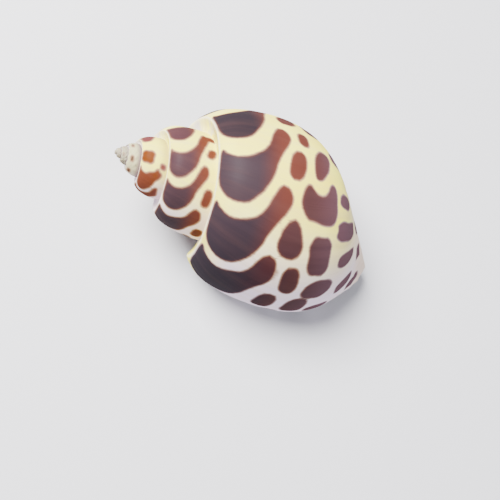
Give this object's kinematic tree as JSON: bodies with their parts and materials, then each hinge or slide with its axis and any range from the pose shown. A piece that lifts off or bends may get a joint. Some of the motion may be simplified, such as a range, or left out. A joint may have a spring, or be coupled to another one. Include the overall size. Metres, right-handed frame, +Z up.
{
  "type": "babylon shell",
  "caption": "Spiral sea snail shell with a stepped spire, swollen last whorl, wide thin-lipped mouth and open umbilicus, lying on its mouth.",
  "frame": {"origin": "centre of the bounding box on the surface that the shell lies on", "axes": "+Z up from the surface, -X towards the apex, +X towards the siphonal end, -Y towards the outer lip"},
  "size_m": [0.0578, 0.0382, 0.0316],
  "materials": {
    "shell": "satin"
  },
  "bodies": {
    "root": {"shell": "shell"}
  },
  "joints": []
}
